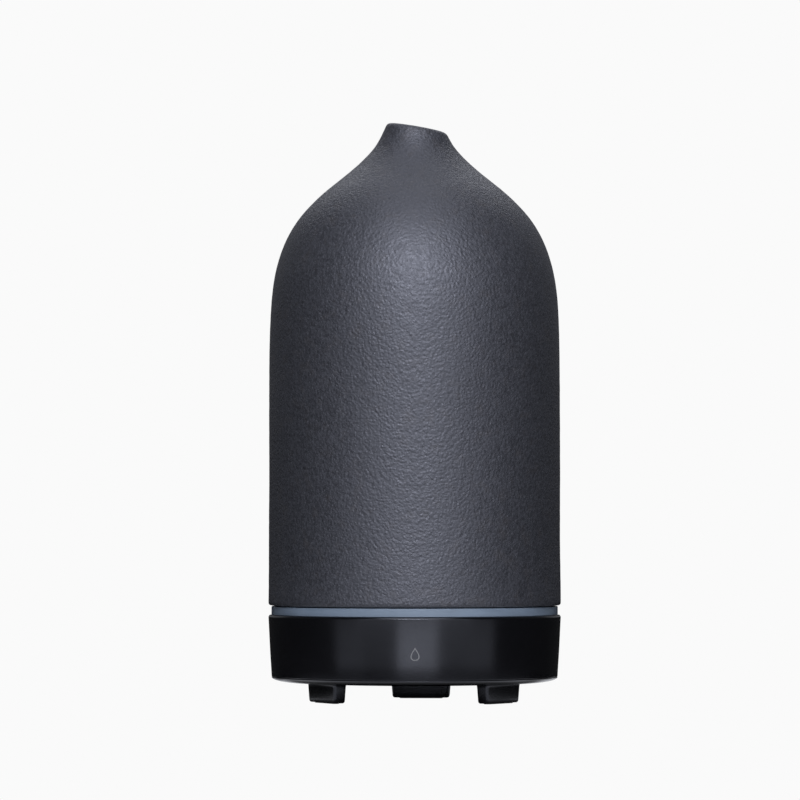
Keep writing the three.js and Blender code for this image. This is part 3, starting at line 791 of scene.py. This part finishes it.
# ------------------------------------------------------ screws in the bottom
def screw(name, x, y, z, up, shank, length, head_r, head_h, cross=True):
    """A pan head screw with a ridged shank; seat at z, head down unless up."""
    prof = [(0.0, -length), (shank * 0.55, -length + 0.15), (shank * 0.78, -length + 0.8)]
    pitch = max(0.55, shank * 0.55)
    q = -length + 1.1
    while q < -0.9:
        prof += [(shank * 0.80, q), (shank, q + pitch * 0.42), (shank * 0.80, q + pitch * 0.84)]
        q += pitch
    prof += [(shank * 0.84, -0.5), (shank * 0.84, 0.0)]
    prof += rounded(
        [(shank * 0.84, 0.0), (head_r, 0.0, 0.12), (head_r, head_h * 0.5, head_h * 0.4), (head_r * 0.6, head_h, 0.5),
         (0.0, head_h)],
        closed=False,
    )[1:]
    o = build(name, lathe(prof, 40))
    w, l = head_r * 0.15, head_r * 0.58

    def bar(a, b):
        return loft([[(-a * s, -b * s, zz), (a * s, -b * s, zz), (a * s, b * s, zz), (-a * s, b * s, zz)]
                     for s, zz in ((0.72, head_h * 0.42), (1.0, head_h * 0.8), (1.08, head_h + 1.0))])

    combine(o, bar(l, w), "DIFFERENCE")
    if cross:
        combine(o, bar(w, l), "DIFFERENCE")
    m = Matrix.Translation((x * MM, y * MM, z * MM)) @ Matrix.Rotation(math.radians(27), 4, "Z")
    if not up:
        m = m @ Matrix.Rotation(math.pi, 4, "X")
    o.data.transform(m)
    return o


for i, a in enumerate(BOSSES):
    s = screw("base_fixing_%d" % (i + 1), *polar(a, BOSS_R), 7.9, False, 1.2, 14.0, 2.7, 1.5)
    dress(s, "steel", "base", "base_screw_%d" % (i + 1))

# ------------------------------------------------------------------- buttons
for use, a in BUTTONS.items():
    face = [(0.0, 45.36)] if use == "light" else [(0.0, 45.12)]
    if use == "light":
        face = [(0.0, 45.36), (0.3, 45.33), (0.5, 45.22), (0.6, 45.12)]
    else:
        face = [(0.0, 45.12), (1.0, 45.13), (1.08, 45.24), (1.2, 45.28), (1.32, 45.24), (1.4, 45.14)]
    prof = (
        [(0.0, 37.6)]
        + rounded([(0.0, 37.6), (1.5, 37.6, 0.2), (1.5, 40.3), (4.4, 40.3, 0.2), (4.4, 41.4, 0.2), (3.5, 41.4),
                   (3.5, 45.0, 0.35), (2.9, 45.38, 0.3), (2.5, 45.3, 0.3), (1.9, 45.15)], closed=False)[1:]
        + face[::-1]
    )
    cap = build(use + "_cap", moved(lathe(prof, 72), z=AXIS_Z, turn=a, tip=90))
    dress(cap, "black_plastic", use + "_key", use + "_button")

# ------------------------------------------------------------------ DC inlet
nose = lathe(rounded([(0, 39.5), (4.2, 39.5), (4.2, 43.9, 0.35), (0, 43.9)], closed=False), 72)
block = loft(
    [
        [(x, y, z) for x, z in [(px, pz + AXIS_Z) for px, pz in rounded_rect(s * 9.0, s * 9.0, 0.6, 4)]]
        for y, s in ((27.0, 0.94), (27.3, 1.0), (39.9, 1.0), (40.2, 0.96))
    ]
)
jack = build("inlet_body", block)
combine(jack, moved(nose, z=AXIS_Z, turn=90, tip=90), "UNION")
combine(
    jack,
    moved(
        lathe([(0, 30.0), (1.3, 30.0), (1.3, 33.0), (3.1, 33.0), (3.1, 43.55), (3.45, 43.95), (3.5, 46.0), (0, 46.0)], 72),
        z=AXIS_Z, turn=90, tip=90,
    ),
    "DIFFERENCE",
)
dress(jack, "part_plastic", "base", "dc_jack")
pin = build(
    "inlet_pin",
    moved(
        lathe(rounded([(0, 30.3), (1.0, 30.3, 0.15), (1.0, 41.6, 0.8), (0.62, 42.4, 0.35), (0, 42.4)], closed=False), 48),
        z=AXIS_Z, turn=90, tip=90,
    ),
)
dress(pin, "contact", "base", "dc_jack_contact")

# ---------------------------------------------------------------- water tank
tank = build(
    "tank_cup",
    lathe(
        rounded(
            [
                (8.2, 30.2, 0.2), (12.2, 30.2), (12.2, 26.2, 0.2), (13.8, 26.2, 0.2), (13.8, 31.4, 0.3),
                (34.4, 31.4, 0.3), (34.4, 27.6, 0.2), (36.6, 27.6, 0.3), (36.6, 34.6, 0.2), (40.2, 34.6, 0.3),
                (40.2, 36.4, 0.6), (37.25, 36.7, 1.2), (37.0, 79.4, 0.5), (36.6, 80.0, 0.5), (35.3, 80.0, 0.5),
                (35.0, 79.4, 0.4), (34.8, 64.2, 0.2), (34.3, 63.7, 0.3), (34.3, 63.1, 0.3), (34.8, 62.6, 0.2),
                (34.6, 38.0, 6.0), (33.0, 35.2, 3.0), (30.0, 33.9, 6.0), (13.0, 33.2, 2.0), (10.2, 32.2, 2.0),
                (8.2, 31.4, 0.3),
            ]
        ),
        224,
    ),
)
riser = moved(
    lathe(rounded([(0, 26.2), (7.0, 26.2, 0.3), (7.0, 33.4, 0.8), (6.9, 74.0, 0.6), (0, 74.0)], closed=False), 64), y=-25.0
)
combine(
    tank,
    merged(
        riser,
        *[post(*polar(a, BOSS_R), 3.2, 10.3, 32.0, 32) for a in BOSSES],
        *[post(*polar(a, 14.6), 3.0, 26.2, 32.0, 32) for a in (90, 210, 330)],
    ),
    "UNION",
)
combine(
    tank,
    merged(
        moved(lathe([(0, 20.0), (5.9, 20.0), (5.9, 26.0), (5.5, 26.5), (5.5, 73.6), (5.8, 74.2), (5.8, 80.0), (0, 80.0)], 64), y=-25.0),
        lathe([(0, 20.0), (12.2, 20.0), (12.2, 30.2), (8.2, 30.2), (8.2, 33.4), (0, 33.4)], 96),
        *[moved(lathe([(0, 9.0), (1.7, 9.0), (1.7, 10.2), (1.5, 10.6), (1.5, 24.0), (0, 24.0)], 24), *polar(a, BOSS_R))
          for a in BOSSES],
    ),
    "DIFFERENCE",
)
combine(
    tank,
    merged(*[moved(lathe([(0, 24.0), (1.3, 24.0), (1.3, 30.4), (0, 30.4)], 20), *polar(a, 15.2)) for a in (90, 210, 330)]),
    "DIFFERENCE",
)
dress(tank, "tank_plastic", "base", "water_tank")

# ------------------------------------------------------------------ mist lid
chimney = spline(
    [(8.0, 140.0), (8.75, 110.0), (10.2, 101.0), (14.4, 94.2), (24.0, 88.4), (33.0, 85.0), (36.2, 83.75)], 1.0
)
chimney_in = spline(
    [(32.4, 83.15), (23.2, 86.8), (13.0, 95.2), (8.6, 101.6), (7.2, 110.0), (6.4, 140.0)], 1.0
)
lid_profile = (
    rounded(
        [(6.4, 140.0), (6.05, 146.2, 0.4), (6.25, 146.95, 0.35), (7.3, 146.95, 0.4), (7.6, 146.2, 0.4), (8.0, 140.0)],
        closed=False,
    )
    + chimney[1:]
    + rounded(
        [(36.2, 83.75), (36.9, 83.3, 0.6), (37.6, 82.0, 0.8), (37.4, 80.3, 0.25), (34.2, 80.3, 0.2), (34.2, 75.5, 0.35),
         (32.8, 75.5, 0.35), (32.8, 82.6, 0.6), (32.4, 83.15)],
        closed=False,
    )[1:]
    + chimney_in[1:-1]
)
lid = build("vapour_lid", lathe(lid_profile, 192), smooth=40)
dress(lid, "lid_plastic", "lid", "mist_lid")

# ----------------------------------------------------------- seals and disc
seal = build(
    "flat_seal",
    lathe(rounded([(37.0, 33.3, 0.3), (40.2, 33.3, 0.3), (40.2, 34.3, 0.3), (37.0, 34.3, 0.3)]), 160),
)
dress(seal, "silicone", "base", "tank_seal")
disc_seal = build(
    "disc_gasket",
    lathe(
        rounded(
            [(8.6, 26.2, 0.2), (11.9, 26.2, 0.3), (11.9, 29.9, 0.3), (8.6, 29.9, 0.25), (8.6, 29.3, 0.2), (10.3, 29.3, 0.1),
             (10.3, 27.5, 0.1), (8.6, 27.5, 0.2)]
        ),
        96,
    ),
)
dress(disc_seal, "silicone", "base", "piezo_seal")

# ------------------------------------------------------- small droplet print
# A plain droplet on the front of the base, a thin raised outline.


def droplet_mark():
    height, width, stroke = 4.0, 2.7, 0.30
    outline = []
    for i in range(64):
        t = 2 * math.pi * i / 64
        x = math.sin(t) * math.sin(t / 2) ** 1.4
        y = math.cos(t)
        outline.append((x, y))
    p = np.array(outline)
    p[:, 0] *= width / (p[:, 0].max() - p[:, 0].min())
    p[:, 1] = (p[:, 1] - p[:, 1].min()) / (p[:, 1].max() - p[:, 1].min()) * height
    centre = np.array([0.0, height * 0.36])
    q = centre + (p - centre) * np.array([(width - 2 * stroke) / width, (height - 2.6 * stroke) / height])
    verts, faces = [], []
    n = len(p)
    for ring, lift in ((p, -0.02), (p, 0.018), (q, 0.018), (q, -0.02)):
        for x, z in ring:
            zz = 13.8 + z
            r = 44.0 + (zz - 8.0) * 0.5 / 8.0 if zz < 16 else 44.5 + (zz - 16.0) * 0.5 / 10.2
            r += lift
            g = x / r
            verts.append((r * math.sin(g), -r * math.cos(g), zz))
    for a, b in ((0, 1), (1, 2), (2, 3), (3, 0)):
        for i in range(n):
            k = (i + 1) % n
            faces.append([a * n + i, a * n + k, b * n + k, b * n + i])
    o = build("droplet_print", (verts, faces), smooth=40)
    o.data.materials.append(MARK)
    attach(o, "base")
    return o


droplet_mark()


# ------------------------------------------------------------ floor and lights
def emitter(name, color, strength):
    mat = bpy.data.materials.new(name)
    mat.use_nodes = True
    nt = mat.node_tree
    nt.nodes.clear()
    out = nt.nodes.new("ShaderNodeOutputMaterial")
    e = nt.nodes.new("ShaderNodeEmission")
    e.inputs["Color"].default_value = (*color, 1)
    e.inputs["Strength"].default_value = strength
    nt.links.new(e.outputs[0], out.inputs["Surface"])
    return mat


def unseen(o, camera=False, diffuse=False, glossy=False, transmission=False, shadow=False):
    o.visible_camera = camera
    o.visible_diffuse = diffuse
    o.visible_glossy = glossy
    o.visible_transmission = transmission
    o.visible_volume_scatter = False
    o.visible_shadow = shadow


def plane(name, size, z, mat):
    me = bpy.data.meshes.new(name)
    h = size / 2
    me.from_pydata([(-h, -h, z), (h, -h, z), (h, h, z), (-h, h, z)], [], [[0, 1, 2, 3]])
    o = bpy.data.objects.new(name, me)
    scene.collection.objects.link(o)
    me.materials.append(mat)
    return o


floor = plane("floor", 16.0, 0.0, emitter("floor_white", (1.0, 1.0, 1.0), 0.956))
unseen(floor, camera=True)

bm = bmesh.new()
bmesh.ops.create_uvsphere(bm, u_segments=64, v_segments=32, radius=7.9)
me = bpy.data.meshes.new("backdrop")
bm.to_mesh(me)
bm.free()
backdrop = bpy.data.objects.new("backdrop", me)
scene.collection.objects.link(backdrop)
me.materials.append(emitter("backdrop_white", (1.0, 1.0, 1.0), 0.956))
unseen(backdrop, camera=True)

# the patch of floor that the underside and the lowest rims reflect: shaded
# under the object, bright just outside it
sweep_mat = emitter("sweep_white", (0.93, 0.95, 1.0), 1.0)
nt = sweep_mat.node_tree
where = nt.nodes.new("ShaderNodeTexCoord")
length = nt.nodes.new("ShaderNodeVectorMath")
length.operation = "LENGTH"
nt.links.new(where.outputs["Object"], length.inputs[0])
ramp = nt.nodes.new("ShaderNodeFloatCurve")
curve = ramp.mapping.curves[0]
for x, y in ((0.0, 0.02), (0.32, 0.04), (0.40, 0.28), (0.46, 1.0), (0.54, 1.1), (0.68, 0.5), (0.85, 0.0), (1.0, 0.0)):
    if x in (0.0, 1.0):
        curve.points[int(x) * (len(curve.points) - 1)].location = (x, y)
    else:
        curve.points.new(x, y)
ramp.mapping.update()
tenth = nt.nodes.new("ShaderNodeMath")
tenth.operation = "MULTIPLY"
tenth.inputs[1].default_value = 10.0
nt.links.new(length.outputs["Value"], tenth.inputs[0])
nt.links.new(tenth.outputs[0], ramp.inputs["Value"])
# the emission is darkened in patches round the feet: painted shade in the floor that the feet reflect
painted_shade = None
for x, y, inner, outer, least in (
    (-0.040, -0.007, 0.004, 0.012, 0.5), (0.043, -0.012, 0.004, 0.012, 0.5),
    (-0.066, 0.012, 0.014, 0.028, 0.03), (0.070, -0.001, 0.014, 0.028, 0.03),
):
    gap = nt.nodes.new("ShaderNodeVectorMath")
    gap.operation = "DISTANCE"
    gap.inputs[1].default_value = (x, y, 0.0)
    nt.links.new(where.outputs["Object"], gap.inputs[0])
    fade = nt.nodes.new("ShaderNodeMapRange")
    fade.interpolation_type = "SMOOTHSTEP"
    for key, value in (("From Min", inner), ("From Max", outer), ("To Min", least), ("To Max", 1.0)):
        fade.inputs[key].default_value = value
    nt.links.new(gap.outputs["Value"], fade.inputs["Value"])
    both = nt.nodes.new("ShaderNodeMath")
    both.operation = "MULTIPLY"
    nt.links.new(ramp.outputs[0] if painted_shade is None else painted_shade, both.inputs[0])
    nt.links.new(fade.outputs["Result"], both.inputs[1])
    painted_shade = both.outputs[0]
nt.links.new(painted_shade, nt.nodes["Emission"].inputs["Strength"])
bm = bmesh.new()
bmesh.ops.create_circle(bm, segments=96, radius=0.1, cap_ends=True)
me = bpy.data.meshes.new("sweep")
bm.to_mesh(me)
bm.free()
sweep = bpy.data.objects.new("sweep", me)
sweep.location = (0, 0, -0.001)
scene.collection.objects.link(sweep)
me.materials.append(sweep_mat)
unseen(sweep, glossy=True, diffuse=True)

TARGET = Vector((0.0, 0.0, 0.09))


def panel(name, azimuth, elevation, distance, w, h, radiance, color=(1, 1, 1), target=TARGET, spread=180.0):
    """A soft box seen from the object at an azimuth (0 in front, 90 at +X)."""
    a, e = math.radians(azimuth), math.radians(elevation)
    back = Vector((math.sin(a) * math.cos(e), -math.cos(a) * math.cos(e), math.sin(e)))
    data = bpy.data.lights.new(name, "AREA")
    data.shape, data.size, data.size_y = "RECTANGLE", w, h
    data.energy = radiance * math.pi * w * h
    data.color = color
    data.spread = math.radians(spread)
    o = bpy.data.objects.new(name, data)
    scene.collection.objects.link(o)
    o.location = target + back * distance
    o.rotation_euler = back.to_track_quat("Z", "Y").to_euler()
    o.visible_camera = False
    return o


COOL = (0.93, 0.95, 1.0)


def box_light(name, az0, az1, el0, el1, radiance, distance=1.3, color=COOL):
    """A soft box that fills these azimuths and elevations seen from the object."""
    half_w, half_h = math.radians(az1 - az0) / 2, math.radians(el1 - el0) / 2
    panel(name, (az0 + az1) / 2, (el0 + el1) / 2, distance, 2 * distance * math.tan(half_w),
          2 * distance * math.tan(half_h), radiance, color)


box_light("key_box", -12, 10, 23, 33, 30.0)
box_light("high_box", -22, 22, 44, 62, 2.6)
box_light("mid_left", -45, -13, -2, 32, 1.25)
box_light("mid_right", 11, 45, -2, 32, 1.55)
box_light("low_centre", -13, 17, -17, -3, 2.65)
box_light("low_left", -64, -42, -17, -3, 0.59)
box_light("low_right", 42, 64, -17, -3, 0.60)
box_light("low_mid_left", -42, -13, -17, -3, 0.42)
box_light("low_mid_right", 17, 42, -17, -3, 0.48)
box_light("top_box", -22, 22, 64, 104, 1.03, distance=1.2)
box_light("side_left", -135, -100, 0, 35, 0.04)
box_light("side_right", 100, 135, 0, 35, 0.04)
box_light("back_box", 155, 205, 30, 60, 1.65)
box_light("rear_left", -170, -135, 0, 35, 0.2)
box_light("rear_right", 135, 170, 0, 35, 0.2)

world = bpy.data.worlds.new("world")
scene.world = world
world.use_nodes = True
world.node_tree.nodes["Background"].inputs["Color"].default_value = (0.9, 0.93, 1.0, 1)
world.node_tree.nodes["Background"].inputs["Strength"].default_value = 0.018
